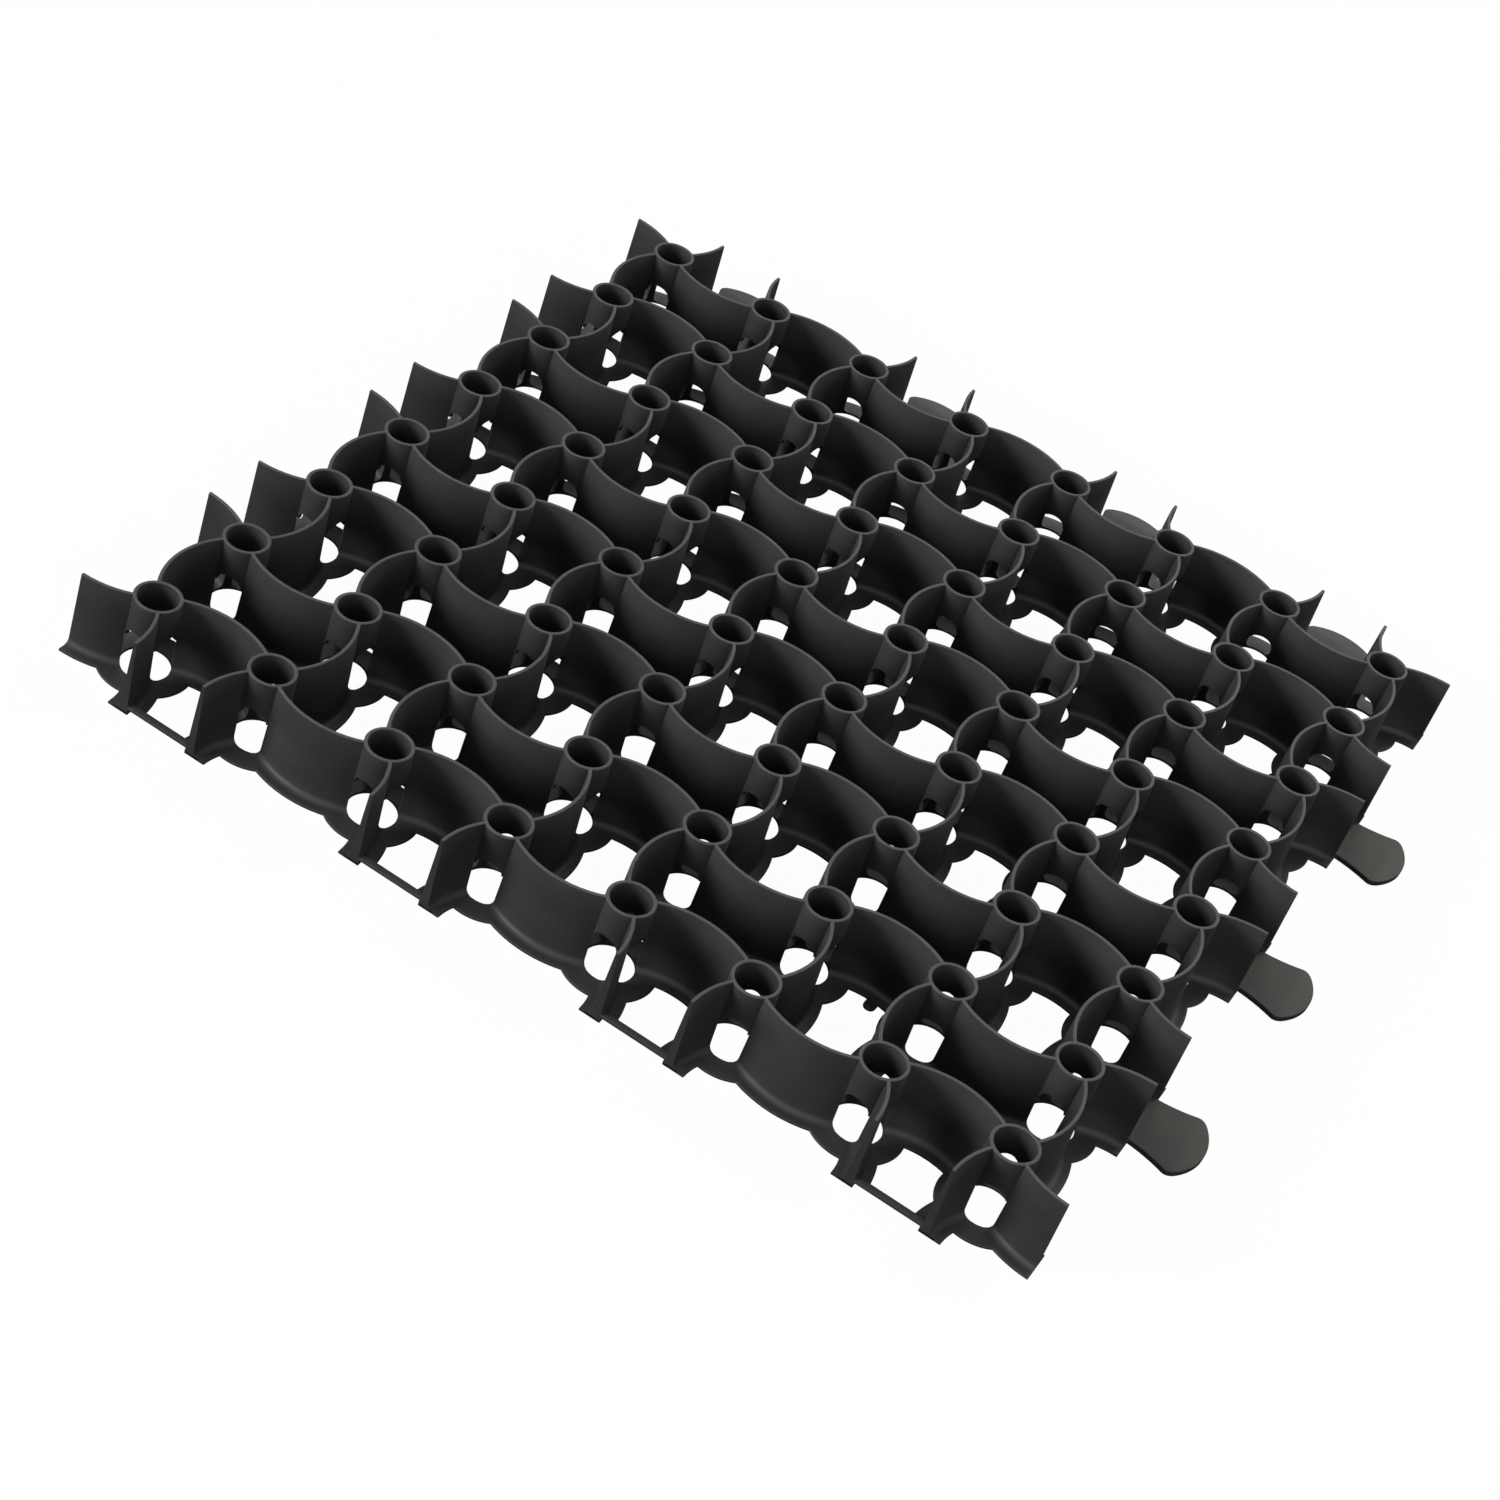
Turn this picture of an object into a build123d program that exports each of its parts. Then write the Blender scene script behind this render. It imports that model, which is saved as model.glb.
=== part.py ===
from build123d import *
from math import asin, degrees, sqrt
import os

# Grass paver grid: one injection moulded plastic panel of round tubes joined by curved walls.
# The panel stands on the floor with its open cells upward. +X and +Y are the two sides with tongues.
# The origin is the middle of the footprint, tongues included, on the floor. Lengths in millimetres.

# Panel
module_side = 500
tubes_per_side = 8
height = 40
pitch = module_side / tubes_per_side
half_pitch = pitch / 2

# Walls: quarter circles from tube to tube, thinner at the top so that the panel leaves its mould
wall_radius = half_pitch * sqrt(2)
wall_top = 1.6
wall_foot = 4.2

# Tubes, tapered like the walls
bore_radius = 9.4
tube_wall = 1.6
tube_taper = 0.4
tube_top_radius = bore_radius + tube_wall
tube_foot_radius = tube_top_radius + tube_taper
tube_middle_radius = bore_radius + tube_wall / 2

# Open lower part of each tube: a round drain between the ends of the walls, and round arches above it
drain_radius = 11.5
arch_radius = 6.3
arch_spring = 18.2

# Base flange
flange_thickness = 1.2
flange_half_width = 8
pad_radius = 21.9

# Tongues on the +X and +Y sides
tongue_reach = 30
tongue_thickness = 2.8
neck_half_width = 15.6
waist_distance = 9.7
waist_half_width = 17
head_distance = 21
head_half_width = 20.4
head_corner = 4
root_depth = 6

# Bars on the -X and -Y sides, and the slots under them that take the tongues of the next panel
slide_gap = 0.2
slot_height = tongue_thickness + slide_gap
slot_half_width = neck_half_width + slide_gap
bar_thickness = 1.5
bar_depth = 3.5

# Places in the grid
panel_middle = -tongue_reach / 2
first_tube = panel_middle - pitch * (tubes_per_side - 1) / 2
edge_low = panel_middle - module_side / 2
edge_high = panel_middle + module_side / 2
edge_gap = pitch - wall_radius

# Angles of a wall, seen from the centre that it bends round
wall_half_angle = degrees(asin(half_pitch / wall_radius))
tube_hidden_angle = degrees(2 * asin(tube_middle_radius / (2 * wall_radius)))
gap_turn = degrees(asin(drain_radius / (2 * wall_radius)))
quarter_turn = 90
tool_overlap = 1


def half_wall():
    """Wall with its base strip, from halfway to the next tube on +X back into the tube at the origin.
    Its section is carried round a vertical axis, and it bulges to +Y."""
    section = Polygon(
        (wall_radius - flange_half_width, 0),
        (wall_radius + flange_half_width, 0),
        (wall_radius + flange_half_width, flange_thickness),
        (wall_radius + wall_foot / 2, flange_thickness),
        (wall_radius + wall_top / 2, height),
        (wall_radius - wall_top / 2, height),
        (wall_radius - wall_foot / 2, flange_thickness),
        (wall_radius - flange_half_width, flange_thickness),
        align=None,
    )
    bend = revolve(Plane.XZ * section, Axis.Z, wall_half_angle - tube_hidden_angle)
    return Pos(half_pitch, -half_pitch) * Rot(0, 0, quarter_turn) * bend


def tube():
    """Outside of one tube, filled, from the spring of the arches to the top."""
    section = Polygon(
        (0, arch_spring),
        (tube_foot_radius, arch_spring),
        (tube_top_radius, height),
        (0, height),
        align=None,
    )
    return revolve(Plane.XZ * section, Axis.Z)


def tube_opening():
    """Everything that is open in one tube: the bore, the drain and two crossing passages.
    The passages run midway between the walls, which have already turned a little at the tube."""
    rise = (Align.CENTER, Align.CENTER, Align.MIN)
    bore = Pos(0, 0, arch_spring) * Cylinder(bore_radius, height, align=rise)
    drain = Pos(0, 0, -tool_overlap) * Cylinder(drain_radius, arch_spring + tool_overlap, align=rise)
    passage = extrude(Plane.XZ * Circle(arch_radius), amount=drain_radius + tool_overlap, both=True)
    along_y = Pos(0, 0, arch_spring) * Rot(0, 0, -gap_turn) * passage
    along_x = Rot(0, 0, quarter_turn) * along_y
    return [bore, drain, along_x, along_y]


def unit():
    """One tube on its pad with its four half walls, turned like the vanes of a pinwheel."""
    pad = extrude(Circle(pad_radius), amount=flange_thickness)
    vanes = [Rot(0, 0, quarter_turn * turn) * half_wall() for turn in range(4)]
    return pad.fuse(tube(), *vanes).cut(*tube_opening())


def tongue():
    """One tongue that points to +Y from the middle of its root, and its web between the walls."""
    left = [
        (-neck_half_width, 0),
        (-waist_half_width, waist_distance),
        (-head_half_width, head_distance),
    ]
    right = [(-x, y) for x, y in left]
    with BuildSketch() as outline:
        with BuildLine():
            Line(left[0], right[0])
            ThreePointArc(*right)
            ThreePointArc(right[-1], (0, tongue_reach), left[-1])
            ThreePointArc(*reversed(left))
        make_face()
        fillet(outline.vertices().sort_by(Axis.Y)[-2:], head_corner)
    web = Pos(0, -root_depth / 2) * Rectangle(2 * edge_gap, root_depth)
    return extrude(outline.sketch + web, amount=tongue_thickness)


def bar():
    """Raised bar between two walls at the edge. Its outer face lies in the XZ plane at Y zero."""
    return Pos(0, bar_depth / 2, slot_height) * Box(
        2 * edge_gap, bar_depth, bar_thickness, align=(Align.CENTER, Align.CENTER, Align.MIN)
    )


def slot():
    """Opening under a bar. It cuts the base strips back to the walls."""
    return Pos(0, bar_depth / 2) * Box(
        2 * slot_half_width,
        bar_depth,
        2 * slot_height,
    )


def along_edges(start, turn):
    """Places on both edges of the same kind: at each two walls that come together."""
    middles = [first_tube + (first + 0.5) * pitch for first in range(tubes_per_side - 1)]
    on_y = [Pos(middle, start) for middle in middles[::2]]
    on_x = [Pos(start, middle) * Rot(0, 0, turn) for middle in middles[1::2]]
    return on_y + on_x


def paver_grid():
    """The whole panel as one solid. Units alternate with their mirror image."""
    right_handed = unit()
    left_handed = mirror(right_handed, Plane.XZ)
    units = []
    for column in range(tubes_per_side):
        for row in range(tubes_per_side):
            vanes = left_handed if (column + row) % 2 else right_handed
            units.append(Pos(first_tube + column * pitch, first_tube + row * pitch) * vanes)
    tongues = [place * tongue() for place in along_edges(edge_high, -quarter_turn)]
    bars = [place * bar() for place in along_edges(edge_low, -quarter_turn)]
    slots = [place * slot() for place in along_edges(edge_low, -quarter_turn)]
    plain = units[0].fuse(*units[1:]).cut(*slots)
    return plain.fuse(*tongues, *bars)


os.makedirs("parts", exist_ok=True)
export_step(paver_grid(), "parts/paver_grid.step")
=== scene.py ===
from math import pi, radians

import bpy
import numpy as np
from mathutils import Matrix, Vector


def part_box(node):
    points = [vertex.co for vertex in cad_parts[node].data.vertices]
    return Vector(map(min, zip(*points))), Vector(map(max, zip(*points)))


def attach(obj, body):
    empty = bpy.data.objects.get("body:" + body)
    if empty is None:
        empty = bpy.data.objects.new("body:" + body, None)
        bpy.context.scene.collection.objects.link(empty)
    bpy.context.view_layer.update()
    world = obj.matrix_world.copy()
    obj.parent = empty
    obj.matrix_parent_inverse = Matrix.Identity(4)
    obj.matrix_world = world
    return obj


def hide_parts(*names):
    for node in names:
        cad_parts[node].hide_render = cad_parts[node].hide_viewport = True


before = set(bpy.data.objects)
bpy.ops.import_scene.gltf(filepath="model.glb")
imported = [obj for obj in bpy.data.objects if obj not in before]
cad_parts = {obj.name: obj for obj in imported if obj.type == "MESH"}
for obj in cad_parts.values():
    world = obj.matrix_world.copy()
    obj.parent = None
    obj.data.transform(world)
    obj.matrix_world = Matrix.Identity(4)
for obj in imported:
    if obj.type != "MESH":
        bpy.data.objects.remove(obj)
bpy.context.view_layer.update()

# Sizes in metres. The panel's own box gives its height and the pitch of its tubes.
mm = 0.001
low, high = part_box("paver_grid")
tubes_per_side = 8
tongue_reach = 30 * mm
height = high.z
pitch = (high.x - low.x - tongue_reach) / tubes_per_side
half_pitch = pitch / 2
edge_low = low.x
edge_high = high.x - tongue_reach
first_tube = edge_low + half_pitch

# Walls
wall_radius = half_pitch * 2**0.5
wall_top = 1.6 * mm
wall_foot = 4.2 * mm
wall_low_share = 0.25
wall_high_share = 0.7
wall_dip = 0.02 * mm  # keeps the walls' tops just under the rims, so the two don't lie in one plane
foot_round = 3.0 * mm
edge_round = 0.4 * mm

# Tubes and their openings
bore_radius = 9.4 * mm
tube_top_radius = 11.0 * mm
tube_foot_radius = 11.4 * mm
tube_middle_radius = 10.2 * mm
drain_radius = 11.5 * mm
arch_radius = 6.3 * mm
arch_spring = 18.2 * mm
spring_step = 0.3 * mm
tube_shares = (0, 0.35, 0.7)

# Base
flange_thickness = 1.2 * mm
flange_half_width = 8 * mm
pad_radius = 21.9 * mm
base_round = 0.3 * mm

# Tongues, bars and slots
tongue_thickness = 2.8 * mm
neck_half_width = 15.6 * mm
waist_distance = 9.7 * mm
waist_half_width = 17 * mm
head_distance = 21 * mm
head_half_width = 20.4 * mm
head_trim = 2.6 * mm
root_depth = 6 * mm
slide_gap = 0.2 * mm
slot_height = tongue_thickness + slide_gap
bar_thickness = 1.5 * mm
bar_depth = 3.5 * mm
edge_gap = pitch - wall_radius
notch_half_width = edge_gap - neck_half_width - slide_gap
part_lift = 0.02 * mm  # keeps parts that overlap from lying in one plane

# One small rounded tab on the edge of a base strip: its radius, its straight root, where its quarter
# circle ends in degrees, and its middle, which lies off the point halfway between two tubes
tab_radius = 2.9 * mm
tab_root = 4.5 * mm
tab_turn = 84
tab_between = (5.5, 1)
tab_shift = (2.2 * mm, 1.7 * mm)

# Points along each curve
bend_steps = 7
arch_steps = 13
post_steps = 5
pad_steps = 13
foot_steps = 6
round_steps = 4
flank_steps = 9
end_curve_steps = 25
corner_steps = 7
tab_steps = 8

# Cleaning a mesh: points in the same micrometre are one, and faces under an area in square metres go.
# Faces that meet at less than the smooth angle, in degrees, are shaded as one surface.
micrometres = 1e6
smallest_area = 1e-13
smooth_angle = 35

# Camera: where it stands, the point on the floor that it looks at, and how far it leans to one side
camera_place = Vector((0.32327, -1.12794, 0.90214))
camera_aim = Vector((-0.01109, -0.06623, 0.0))
camera_roll = radians(20.50)
camera_lens = 74.15


def linear(hex_colour):
    """An sRGB hex colour as linear red, green, blue and alpha."""
    parts = [int(hex_colour[i : i + 2], 16) / 255 for i in (1, 3, 5)]
    return [p / 12.92 if p <= 0.04045 else ((p + 0.055) / 1.055) ** 2.4 for p in parts] + [1.0]


def add_node(tree, kind, settings=None, links=None):
    """Add a node. Settings are its properties. Links are its sockets' values, or the sockets that
    feed them."""
    made = tree.nodes.new(kind)
    for name, value in (settings or {}).items():
        setattr(made, name, value)
    for name, value in (links or {}).items():
        if isinstance(value, bpy.types.NodeSocket):
            tree.links.new(value, made.inputs[name])
        else:
            made.inputs[name].default_value = value
    return made


def arc(middle, radius, start, end, steps):
    """Points of an arc: its middle plus its radius turned from the start angle to the end angle."""
    turn = np.linspace(radians(start), radians(end), steps)
    return np.stack([middle[0] + radius * np.cos(turn), middle[1] + radius * np.sin(turn)], axis=1)


def grid_faces(rows, columns, close_rows=False, close_columns=False):
    """Quads of a grid of rows by columns points. A closed direction joins its last points to its first."""
    row = np.arange(rows if close_rows else rows - 1)[:, None] * columns
    next_row = (row + columns) % (rows * columns)
    column = np.arange(columns if close_columns else columns - 1)[None, :]
    next_column = (column + 1) % columns
    quads = [row + column, row + next_column, next_row + next_column, next_row + column]
    return np.stack(np.broadcast_arrays(*quads), axis=-1).reshape(-1, 4)


def rung_faces(right, left):
    """Quads between two rows of point numbers that run side by side."""
    return np.stack([right[:-1], left[:-1], left[1:], right[1:]], axis=1)


def copies(points, faces, places, turns, mirrored):
    """Copy a shape to each place: mirror it in Y where told, turn it about Z, then move it."""
    cosine, sine = np.cos(turns)[:, None], np.sin(turns)[:, None]
    y = points[None, :, 1] * np.where(mirrored, -1, 1)[:, None]
    x = np.broadcast_to(points[None, :, 0], y.shape)
    z = np.broadcast_to(points[None, :, 2], y.shape)
    moved = [x * cosine - y * sine + places[:, :1], x * sine + y * cosine + places[:, 1:2], z]
    numbered = faces[None] + (np.arange(len(places)) * len(points))[:, None, None]
    numbered[mirrored] = numbered[mirrored][:, :, ::-1]
    return np.stack(moved, axis=-1).reshape(-1, 3), numbered.reshape(-1, 4)


def join(parts):
    """Several shapes as one."""
    offsets = np.cumsum([0] + [len(points) for points, _ in parts[:-1]])
    faces = [faces + offset for (_, faces), offset in zip(parts, offsets)]
    return np.concatenate([points for points, _ in parts]), np.concatenate(faces)


def merged(points, faces):
    """Points that coincide within a micrometre become one. Quads that lose a corner become triangles,
    and those with no area go."""
    keys = np.round(points * micrometres).astype(np.int64)
    _, first, number = np.unique(keys, axis=0, return_index=True, return_inverse=True)
    points, faces = points[first], number.ravel()[faces]
    across = points[faces[:, 2]] - points[faces[:, 0]]
    along = points[faces[:, 3]] - points[faces[:, 1]]
    faces = faces[np.linalg.norm(np.cross(across, along), axis=1) > smallest_area]
    same = faces == np.roll(faces, -1, axis=1)
    whole = faces[~same.any(axis=1)]
    pinched, at = faces[same.any(axis=1)], same[same.any(axis=1)].argmax(axis=1)
    corners = (at[:, None] + np.arange(1, 4)) % 4
    return points, whole.tolist() + np.take_along_axis(pinched, corners, axis=1).tolist()


def add_piece(name, points, faces, material):
    """A mesh that is part of the panel, smooth where its faces meet at less than the smooth angle."""
    points, faces = merged(points, faces)
    mesh = bpy.data.meshes.new(name)
    mesh.from_pydata(points, [], faces)
    mesh.validate()
    mesh.shade_smooth()
    mesh.set_sharp_from_angle(angle=radians(smooth_angle))
    mesh.materials.append(material)
    piece = bpy.data.objects.new(name, mesh)
    bpy.context.scene.collection.objects.link(piece)
    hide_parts("paver_grid")
    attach(piece, "root")


def near_tube(away, reach):
    """Angle, seen from the centre of a bend, between a tube's axis and the point where a circle about
    that centre, with radius away, meets the circle about the tube with radius reach (cosine rule)."""
    return np.arccos((away**2 + wall_radius**2 - reach**2) / (2 * away * wall_radius))


def wall_side():
    """One side of a wall's section as half thickness and level, from inside the flange to the top.
    A small hollow round leads from the flange into the wall, and the top edge is rounded over."""

    def half_thickness(level):
        """Half the wall's thickness at a level: it grows evenly from the top down to the flange."""
        share = (height - level) / (height - flange_thickness)
        return (wall_top + (wall_foot - wall_top) * share) / 2

    inner = half_thickness(flange_thickness + foot_round) + foot_round
    foot = arc((inner, flange_thickness + foot_round), foot_round, 270, 180, foot_steps)
    middle = [wall_low_share * height, arch_spring, arch_spring + spring_step, wall_high_share * height]
    levels = np.array(middle)
    face = np.stack([half_thickness(levels), levels], axis=1)
    top_middle = (wall_top / 2 - edge_round, height - wall_dip - edge_round)
    top = arc(top_middle, edge_round, 0, 90, round_steps)
    return np.concatenate([[[inner, flange_thickness / 2]], foot, face, top])


def half_wall(at_edge, notched):
    """Half a wall, from midway between two tubes back to the tube at the origin. A point lies at
    (radius + offset) * (sin turn, cos turn) from the centre of the bend. The turn ends where the offset
    circle meets the drain, or above the arches' spring the middle of the tube's wall. The end is closed
    by columns of points between the two sides, and so is the middle where it is the panel's edge. There
    the foot is cut back to the notch in the base on the side that bulges out."""
    side = wall_side()
    notch_share = notch_half_width / side[0, 0]
    across = np.array([notch_share, 0, -notch_share])
    shares = np.concatenate([[1], across, [-1]])
    offset = np.concatenate([side[:, 0], across * side[-1, 0], -side[::-1, 0], -across * side[0, 0]])
    level = np.concatenate([side[:, 1], 0 * across + side[-1, 1], side[::-1, 1], 0 * across + side[0, 1]])

    def place(turn, offset, level):
        """Points on the wall, by their turn round the centre of the bend, offset and level."""
        away = wall_radius + offset
        spots = [half_pitch + away * np.sin(turn), away * np.cos(turn) - half_pitch, level]
        return np.stack(np.broadcast_arrays(*spots), axis=-1).reshape(-1, 3)

    def end(offset, level):
        """Turn at which the wall ends at the tube."""
        reach = np.where(level <= arch_spring, drain_radius, tube_middle_radius)
        return near_tube(wall_radius + offset, reach) - pi / 4

    steps = np.linspace(0, 1, bend_steps)[:, None]
    start = -np.arcsin(bar_depth / (wall_radius + offset)) if notched else 0 * offset
    points = place(start + steps * (end(offset, level) - start), offset, level)
    cap_offset, cap_level = side[:, :1] * shares, side[:, 1:]
    cap_faces = grid_faces(*cap_offset.shape)
    edge_offset = cap_offset
    if notched:
        slim = np.minimum(offset, notch_half_width)
        slot_end = -np.arcsin(bar_depth / (wall_radius + slim))
        points = np.concatenate([place(np.stack([0 * slim, slot_end]), slim, level), points])
        edge_offset = np.minimum(cap_offset, notch_half_width)
    skin = grid_faces(len(points) // len(level), len(level), close_columns=True)[:, ::-1]
    tube_end = place(end(cap_offset, cap_level), cap_offset, cap_level)
    parts = [(points, skin), (tube_end, cap_faces[:, ::-1])]
    if at_edge:
        parts.append((place(0, edge_offset, cap_level), cap_faces))
    return join(parts)


def tube():
    """A tube round the Z axis: columns run up the outside, over the rim and down the bore. At the foot
    they follow the round arches, where the sideways distance is arch radius * sin(sweep) and the level
    is spring + arch radius * cos(sweep). Towards the rim the columns spread out evenly."""
    quarter = pi / 2
    gap_turn = np.arcsin(drain_radius / (2 * wall_radius))
    sweep = np.linspace(-quarter, quarter, arch_steps)
    post = np.linspace(0, 1, post_steps)[1:-1]
    per_quarter = len(sweep) + len(post)

    def foot_columns(radius):
        """Angle and lowest level of each column, over an arch and then across the post beside it."""
        half = np.arcsin(arch_radius * np.sin(sweep) / radius)
        angle = np.concatenate([half, half[-1] + post * (quarter - 2 * half[-1])])
        level = arch_spring + np.concatenate([arch_radius * np.cos(sweep), 0 * post])
        return (angle[None] + quarter * np.arange(4)[:, None]).ravel() - gap_turn, np.tile(level, 4)

    even = (np.arange(4 * per_quarter) - (len(sweep) - 1) / 2) * quarter / per_quarter - gap_turn
    outer_rim = arc((tube_top_radius - edge_round, height - edge_round), edge_round, 0, 90, round_steps)
    inner_rim = arc((bore_radius + edge_round, height - edge_round), edge_round, 90, 180, round_steps)
    outer_angle, outer_foot = foot_columns(tube_foot_radius)
    inner_angle, inner_foot = foot_columns(bore_radius)
    taper = (tube_foot_radius - tube_top_radius) / (height - arch_spring)
    rows = []
    for share in tube_shares:
        level = outer_foot + share * (outer_rim[0, 1] - outer_foot)
        radius = tube_top_radius + taper * (height - level)
        rows.append((outer_angle + share * (even - outer_angle), radius, level))
    for radius, level in np.concatenate([outer_rim, inner_rim]):
        rows.append((even, radius, np.full(len(even), level)))
    for share in tube_shares[::-1]:
        level = inner_foot + share * (inner_rim[-1, 1] - inner_foot)
        rows.append((inner_angle + share * (even - inner_angle), bore_radius, level))
    points = np.concatenate([np.stack([r * np.cos(a), r * np.sin(a), z], axis=1) for a, r, z in rows])
    return points, grid_faces(len(rows), len(even), close_rows=True, close_columns=True)


def end_faces(start, narrow):
    """Flat end of a base strip: quads that fan out from the lower point of its section under the wall.
    In a full strip the fan's last part starts from the extra point of the lower edge."""
    fan = [[0, 6, 5, 4], [0, 8, 7, 6]]
    fan += [[0, 10, 9, 8]] if narrow else [[11, 10, 9, 8], [0, 11, 8, 8]]
    return start + np.array(fan)


def base_quarter(notched, bulging_at_edge, hollow_at_edge):
    """The base between two walls of a tube. A section from the drain's edge to the edge of the open
    cell is carried along the wall that bulges into the cell, round the pad and along the other wall.
    Each point of the section has its own offset from the walls and its own radius from the tube.
    A notch is where the strip narrows to make room for the tongue of the next panel."""
    over = arc((0, flange_thickness - base_round), base_round, 0, 90, round_steps)
    inset = base_round - over[:, 0]
    drain_edge = np.stack([0 * inset, drain_radius + inset, over[:, 1]], axis=1)
    cell_edge = np.stack([flange_half_width - inset, pad_radius - inset, over[:, 1]], axis=1)
    middle = [notch_half_width, (drain_radius + pad_radius) / 2]
    upper = [drain_edge, [[*middle, flange_thickness]], cell_edge[::-1]]
    lower = [[flange_half_width, pad_radius, 0], [*middle, 0]]
    offset, reach, level = np.concatenate([[[0, drain_radius, 0]], *upper, lower]).T

    def bend(away, turn):
        """Points at a distance from the centre of the bend, turned round it."""
        spots = [half_pitch + away * np.sin(turn), away * np.cos(turn) - half_pitch]
        return np.stack(np.broadcast_arrays(*spots), axis=-1)

    def run(away, edge_away, at_edge):
        """From the middle of the wall to the pad. At the panel's edge a short stretch comes first,
        which has its own distance from the centre of the bend."""
        end = near_tube(away, reach) - pi / 4
        share = np.linspace(0, 1, bend_steps)[:, None]
        if not at_edge:
            return bend(away, share * end)
        stretch = bend(edge_away, np.stack([0 * edge_away, -np.arcsin(bar_depth / edge_away)]))
        start = -np.arcsin(bar_depth / away)
        return np.concatenate([stretch, bend(away, start + share * (end - start))])

    out, back = wall_radius + offset, wall_radius - offset
    slim = wall_radius + np.minimum(offset, notch_half_width) if notched else out
    along = run(out, slim, bulging_at_edge)
    # The other wall is the same bend, seen from its hollow side and turned by a quarter round the tube.
    other = run(back, back, hollow_at_edge)[::-1]
    other = np.stack([-other[..., 1], other[..., 0]], axis=-1)
    first = np.arctan2(along[-1, :, 1], along[-1, :, 0])
    last = np.arctan2(other[0, :, 1], other[0, :, 0])
    angle = first + np.linspace(0, 1, pad_steps)[1:-1, None] * (last - first)
    pad = np.stack([reach * np.cos(angle), reach * np.sin(angle)], axis=-1)
    flat = np.concatenate([along, pad, other])
    points = np.concatenate([flat, np.broadcast_to(level, flat.shape[:2])[..., None]], axis=-1)
    count = len(level)
    faces = grid_faces(len(flat), count, close_columns=True)
    # The section's drain side shows only round the drain. Along the walls it would lie inside the base.
    row, column = np.divmod(np.arange(len(faces)), count)
    inside = (column < len(over)) & ((row < len(along) - 1) | (row >= len(along) + len(pad)))
    ends = [faces[~inside]]
    if bulging_at_edge:
        ends.append(end_faces(0, notched))
    if hollow_at_edge:
        ends.append(end_faces((len(flat) - 1) * count, False)[:, ::-1])
    return points.reshape(-1, 3), np.concatenate(ends)


def plate(side, bottom, top):
    """A flat plate, the same to the left and right, with a rounded upper edge. The side is its right
    outline from one end to the other. Each ring of points lies a little further in along the normals."""
    outline = np.concatenate([side, side[::-1] * [-1, 1]])
    step = np.roll(outline, -1, axis=0) - outline
    step /= np.linalg.norm(step, axis=1, keepdims=True)
    out = np.stack([step[:, 1], -step[:, 0]], axis=1)
    before = np.roll(out, 1, axis=0)
    corner = (out + before) / (1 + np.sum(out * before, axis=1, keepdims=True))
    over = arc((0, top - edge_round), edge_round, 0, 90, round_steps)
    insets = np.concatenate([[0], edge_round - over[:, 0]])
    levels = np.concatenate([[bottom], over[:, 1]])
    flat = outline[None] - insets[:, None, None] * corner[None]
    rings = np.concatenate([flat, np.broadcast_to(levels[:, None, None], flat.shape[:2] + (1,))], axis=-1)
    count, half = len(outline), len(side)
    right, left = np.arange(half), count - 1 - np.arange(half)
    last = (len(levels) - 1) * count
    skin = grid_faces(len(levels), count, close_columns=True)
    caps = [rung_faces(right, left), rung_faces(left + last, right + last)]
    return rings.reshape(-1, 3), np.concatenate([skin] + caps)


def three_point_arc(start, middle, end, steps):
    """Arc through three points: its centre is where the two perpendicular bisectors cross."""
    start, middle, end = np.array([start, middle, end])
    sides = 2 * np.array([middle - start, end - start])
    centre = np.linalg.solve(sides, [middle @ middle - start @ start, end @ end - start @ start])
    angles = np.unwrap([np.arctan2(*(spot - centre)[::-1]) for spot in (start, middle, end)])
    turn = np.linspace(angles[0], angles[2], steps)
    radius = np.linalg.norm(start - centre)
    return centre + radius * np.stack([np.cos(turn), np.sin(turn)], axis=1)


def tongue_side():
    """Right outline of a tongue, from the back of its web between the walls to its tip: the web, the
    hollow flank, the rounded corner of the head and half of the long curve across its end. The corner
    is a quadratic curve that leaves the flank and meets the end curve, and leans towards the head."""
    head = np.array([head_half_width, head_distance])
    flank = three_point_arc((neck_half_width, 0), (waist_half_width, waist_distance), head, flank_steps)
    end_curve = three_point_arc(head, (0, tongue_reach), head * [-1, 1], end_curve_steps)
    end_curve = end_curve[end_curve[:, 0] > part_lift]
    flank = flank[np.linalg.norm(flank - head, axis=1) > head_trim]
    end_curve = end_curve[np.linalg.norm(end_curve - head, axis=1) > head_trim]
    share = np.linspace(0, 1, corner_steps)[1:-1, None]
    corner = (1 - share) ** 2 * flank[-1] + 2 * share * (1 - share) * head + share**2 * end_curve[0]
    web = np.array([[edge_gap, -root_depth], [edge_gap, -slide_gap]])
    return np.concatenate([web, flank, corner, end_curve])


def bar_side():
    """Right outline of a bar: its two corners."""
    return np.array([[edge_gap, part_lift], [edge_gap, bar_depth]])


def tab_side():
    """Right outline of the small tab: its root and a quarter of a circle."""
    return np.concatenate([[[tab_radius, -tab_root]], arc((0, 0), tab_radius, 0, tab_turn, tab_steps)])


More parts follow.
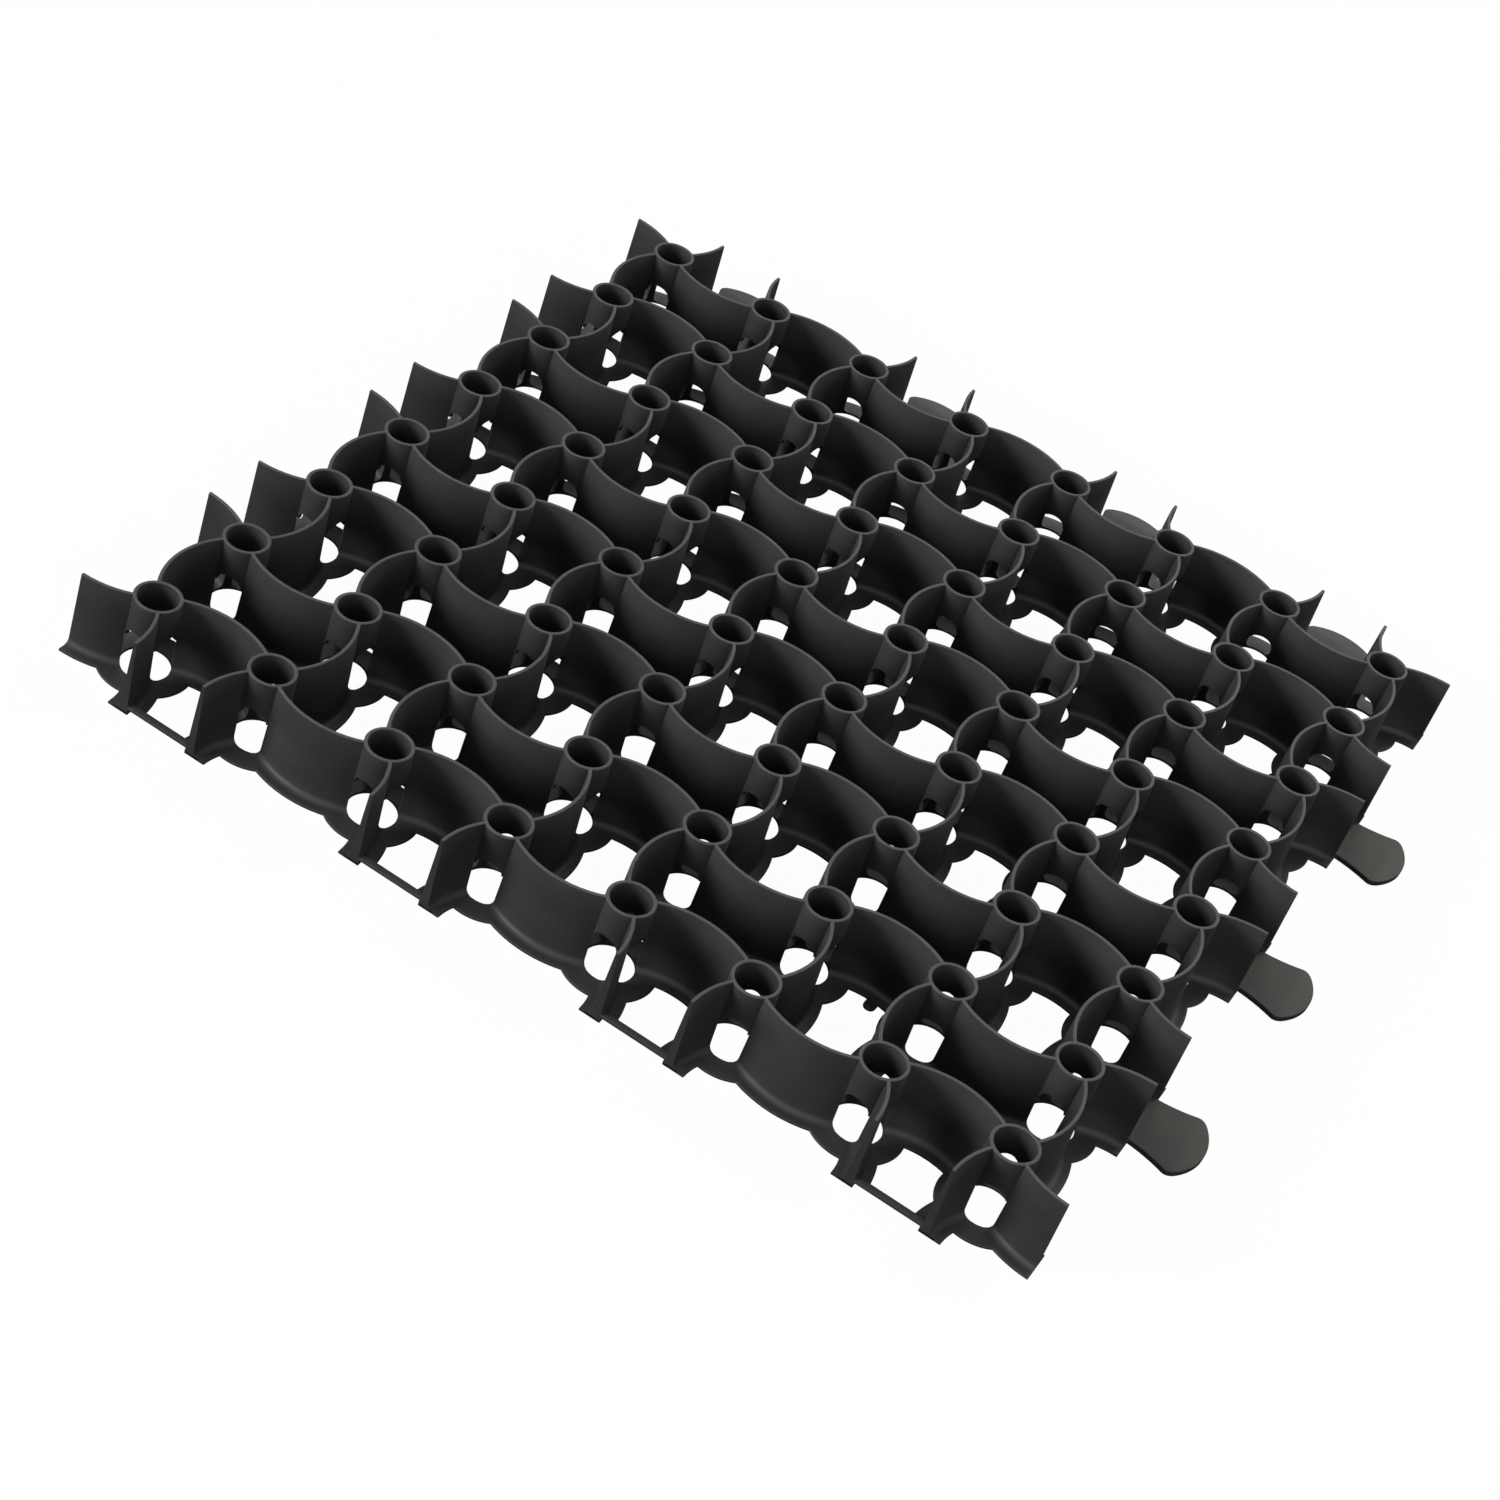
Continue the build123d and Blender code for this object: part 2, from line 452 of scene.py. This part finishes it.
def black_plastic():
    """Injection-moulded black polyethylene with reclaimed material in it: refractive index 1.5, semi-matt
    from a finely blasted mould and cloudy from the flow of the melt. The top edges carry a paler, patchy
    painted highlight."""
    material = bpy.data.materials.new("moulded_black_polyethylene")
    material.use_nodes = True
    tree = material.node_tree
    surface = tree.nodes["Principled BSDF"]
    where = add_node(tree, "ShaderNodeTexCoord").outputs["Object"]

    def noise(size, detail):
        """Noise whose patches are about as large as the given size in metres."""
        links = {"Vector": where, "Scale": 1 / size, "Detail": detail, "Roughness": 0.55}
        return add_node(tree, "ShaderNodeTexNoise", links=links).outputs["Fac"]

    def spread(value, start, end, to_start, to_end):
        """The value's stretch from start to end, spread over another range and held at its ends."""
        links = {"Value": value, "From Min": start, "From Max": end, "To Min": to_start, "To Max": to_end}
        return add_node(tree, "ShaderNodeMapRange", links=links).outputs["Result"]

    def blend(share, first, second):
        """Colour between two others, which are the mix's sockets 6 and 7."""
        mix = add_node(tree, "ShaderNodeMix", {"data_type": "RGBA"}, {0: share, 6: first, 7: second})
        return mix.outputs[2]

    # The melt's clouds are about 30 mm long, reclaimed flecks 1.6 mm, and the patches of the painted
    # highlight 7 mm. The grain
    #     of a finely blasted mould is near 0.1 mm, too fine to show, so it is drawn at 0.9 mm.
    flow = noise(30 * mm, 3.0)
    fleck = noise(1.6 * mm, 2.0)
    grain = noise(0.9 * mm, 3.0)
    rub = noise(7 * mm, 4.0)
    level = add_node(tree, "ShaderNodeSeparateXYZ", links={0: where}).outputs["Z"]
    cloudy = blend(spread(flow, 0.35, 0.65, 0.0, 1.0), linear("#3f3f3f"), linear("#39393a"))
    flecked = blend(spread(fleck, 0.62, 0.8, 0.0, 0.5), cloudy, linear("#50504e"))
    # Painted highlight: the top 0.5 mm of the rims and walls is drawn paler, in patches, where edges would
    # catch light.
    top = spread(level, height - 0.5 * mm, height - 0.1 * mm, 0.0, 1.0)
    highlight_strength = spread(rub, 0.3, 0.7, 0.7, 1.0)
    rubbed = add_node(tree, "ShaderNodeMath", {"operation": "MULTIPLY"}, {0: top, 1: highlight_strength}).outputs[0]
    colour = blend(rubbed, flecked, linear("#646464"))
    tree.links.new(colour, surface.inputs["Base Color"])
    tree.links.new(spread(flow, 0.3, 0.7, 0.62, 0.52), surface.inputs["Roughness"])
    bump = {"Height": grain, "Strength": 0.25, "Distance": 0.1 * mm}
    bumped = add_node(tree, "ShaderNodeBump", links=bump)
    tree.links.new(bumped.outputs[0], surface.inputs["Normal"])
    surface.inputs["IOR"].default_value = 1.5
    return material


def add_camera():
    """Camera at the place that the picture was taken from, with no shift and no depth of field."""
    data = bpy.data.cameras.new("camera")
    data.lens = camera_lens
    data.clip_start = 0.05
    camera = bpy.data.objects.new("camera", data)
    bpy.context.scene.collection.objects.link(camera)
    aim = (camera_aim - camera_place).to_track_quat("-Z", "Y").to_matrix()
    turned = (aim @ Matrix.Rotation(camera_roll, 3, "Z")).to_quaternion()
    camera.matrix_world = Matrix.LocRotScale(camera_place, turned, None)
    bpy.context.scene.camera = camera


def add_lamp(name, place, size, power, colour):
    """A square soft lamp that faces the middle of the panel. The camera doesn't see the lamp itself."""
    data = bpy.data.lights.new(name, "AREA")
    data.shape = "SQUARE"
    data.size = size
    data.energy = power
    data.color = linear(colour)[:3]
    lamp = bpy.data.objects.new(name, data)
    lamp.location = place
    lamp.rotation_euler = (-Vector(place)).to_track_quat("-Z", "Y").to_euler()
    lamp.visible_camera = False
    bpy.context.scene.collection.objects.link(lamp)


def seen_by(tree, kinds):
    """1 where the ray is of one of the given kinds, and otherwise 0: the largest of their outputs."""
    rays = add_node(tree, "ShaderNodeLightPath")
    share = rays.outputs[kinds[0]]
    for kind in kinds[1:]:
        either = {0: share, 1: rays.outputs[kind]}
        share = add_node(tree, "ShaderNodeMath", {"operation": "MAXIMUM"}, either).outputs[0]
    return share


def add_floor():
    """A wide pale floor. The camera sees it close to white, with the object's shadow left on it. Gloss
    rays see it matt, because its glow has no shadow and would light up the feet of the walls."""
    side = 6.0
    corners = [(-side, -side, 0), (side, -side, 0), (side, side, 0), (-side, side, 0)]
    mesh = bpy.data.meshes.new("floor")
    mesh.from_pydata(corners, [], [(0, 1, 2, 3)])
    material = bpy.data.materials.new("pale_floor")
    material.use_nodes = True
    tree = material.node_tree
    tree.nodes.clear()
    seen = seen_by(tree, ("Is Camera Ray", "Is Transmission Ray"))
    matt = add_node(tree, "ShaderNodeBsdfDiffuse", links={"Color": linear("#282828")})
    faint = add_node(tree, "ShaderNodeBsdfDiffuse", links={"Color": linear("#464646")})
    glow = add_node(tree, "ShaderNodeEmission", links={"Color": linear("#ffffff"), "Strength": 0.975})
    bright = add_node(tree, "ShaderNodeAddShader", links={0: faint.outputs[0], 1: glow.outputs[0]})
    sides = {0: seen, 1: matt.outputs[0], 2: bright.outputs[0]}
    mix = add_node(tree, "ShaderNodeMixShader", links=sides)
    add_node(tree, "ShaderNodeOutputMaterial", links={"Surface": mix.outputs[0]})
    mesh.materials.append(material)
    floor = bpy.data.objects.new("floor", mesh)
    bpy.context.scene.collection.objects.link(floor)


def set_world():
    """A white surround. Camera, gloss and transmission rays see plain white, and other rays bring the
    object a faint, even fill."""
    world = bpy.data.worlds.new("studio")
    bpy.context.scene.world = world
    world.use_nodes = True
    tree = world.node_tree
    tree.nodes.clear()
    seen = seen_by(tree, ("Is Camera Ray", "Is Glossy Ray", "Is Transmission Ray"))
    fill = add_node(tree, "ShaderNodeBackground", links={"Color": linear("#fffaf8"), "Strength": 0.01})
    white = add_node(tree, "ShaderNodeBackground", links={"Color": linear("#ffffff"), "Strength": 1.0})
    mix = add_node(tree, "ShaderNodeMixShader", links={0: seen, 1: fill.outputs[0], 2: white.outputs[0]})
    add_node(tree, "ShaderNodeOutputWorld", links={"Surface": mix.outputs[0]})


def build_panel(material):
    """The panel's visible surfaces. Units alternate with their mirror image, like vanes of a pinwheel."""
    numbers = np.arange(tubes_per_side)
    column, row = [grid.ravel() for grid in np.meshgrid(numbers, numbers)]
    places = np.stack([first_tube + column * pitch, first_tube + row * pitch], axis=1)
    mirrored = (column + row) % 2 == 1
    add_piece("tubes", *copies(*tube(), places, 0 * column, mirrored), material)

    # Each unit has four vanes: their directions are whole quarter turns.
    quarter = np.tile(np.arange(4), len(column))
    vane_place, vane_mirrored = np.repeat(places, 4, axis=0), np.repeat(mirrored, 4)
    vane_column, vane_row = np.repeat(column, 4), np.repeat(row, 4)
    last = tubes_per_side - 1

    def at_edge(direction):
        """Whether a direction, in quarter turns from +X, leads out of the panel."""
        right = (direction % 4 == 0) & (vane_column == last)
        back = (direction % 4 == 1) & (vane_row == last)
        left = (direction % 4 == 2) & (vane_column == 0)
        front = (direction % 4 == 3) & (vane_row == 0)
        return right | back | left | front

    bulging = at_edge(quarter)
    hollow = at_edge(quarter + np.where(vane_mirrored, -1, 1))
    barred_front = (quarter == 3) & (vane_row == 0)
    barred_left = (quarter == 2) & (vane_column == 0) & (vane_row > 0) & (vane_row < last)
    barred = barred_front | barred_left

    def placed(shape, chosen):
        """A shape at each of the chosen vanes."""
        return copies(*shape, vane_place[chosen], quarter[chosen] * pi / 2, vane_mirrored[chosen])

    # A wall is inside the panel, at its edge, or at its edge beside a bar.
    kinds = [(False, False), (True, False), (True, True)]
    walls = [placed(half_wall(*kind), (bulging == kind[0]) & (barred == kind[1])) for kind in kinds]
    add_piece("walls", *join(walls), material)
    base = []
    for kind in sorted(set(zip(barred.tolist(), bulging.tolist(), hollow.tolist()))):
        chosen = (barred == kind[0]) & (bulging == kind[1]) & (hollow == kind[2])
        base.append(placed(base_quarter(*kind), chosen))
    add_piece("base", *join(base), material)

    # Tongues and bars stand between the tubes, at each two walls that come together.
    middles = first_tube + (np.arange(last) + 0.5) * pitch
    on_y, on_x = middles[::2], middles[1::2]
    turns = np.concatenate([0 * on_y, 0 * on_x - pi / 2])

    def along_edges(edge):
        """Places, turns and no mirroring for the parts on the two edges of the same kind."""
        on_y_places = np.stack([on_y, 0 * on_y + edge], axis=1)
        on_x_places = np.stack([0 * on_x + edge, on_x], axis=1)
        return np.concatenate([on_y_places, on_x_places]), turns, np.zeros(len(turns), dtype=bool)

    tongue = plate(tongue_side(), part_lift, tongue_thickness)
    add_piece("tongues", *copies(*tongue, *along_edges(edge_high)), material)
    bar = plate(bar_side(), slot_height, slot_height + bar_thickness)
    add_piece("bars", *copies(*bar, *along_edges(edge_low)), material)
    tab = plate(tab_side(), part_lift, flange_thickness - part_lift)
    tab_place = first_tube + np.array([tab_between]) * pitch + tab_shift
    add_piece("tab", *copies(*tab, tab_place, np.array([pi]), np.array([False])), material)


add_camera()
add_floor()
set_world()
# Lamps: place, side in metres, power in watts, colour. The key lights the walls from the front left. The
# others are weak: two near the front, one low at each far side for views from there, two over the back.
add_lamp("key", (-3.3, -3.45, 1.75), 1.6, 143, "#fafcff")
add_lamp("front_left", (-0.8, -1.5, 0.6), 0.5, 1.3, "#fdfdff")
add_lamp("front_right", (0.7, -0.9, 0.45), 0.5, 1.5, "#fff0e4")
add_lamp("side_low", (4.9, 0.4, 0.7), 1.6, 9, "#ffe4d8")
add_lamp("behind_low", (-1.0, 4.8, 0.9), 1.6, 8.5, "#ffffff")
add_lamp("near", (0.7, 0.9, 0.8), 0.5, 2.8, "#f0ffe2")
add_lamp("back", (-0.1, 2.3, 1.8), 1.5, 6, "#f0ffe2")
build_panel(black_plastic())
bpy.context.scene.view_settings.view_transform = "Standard"
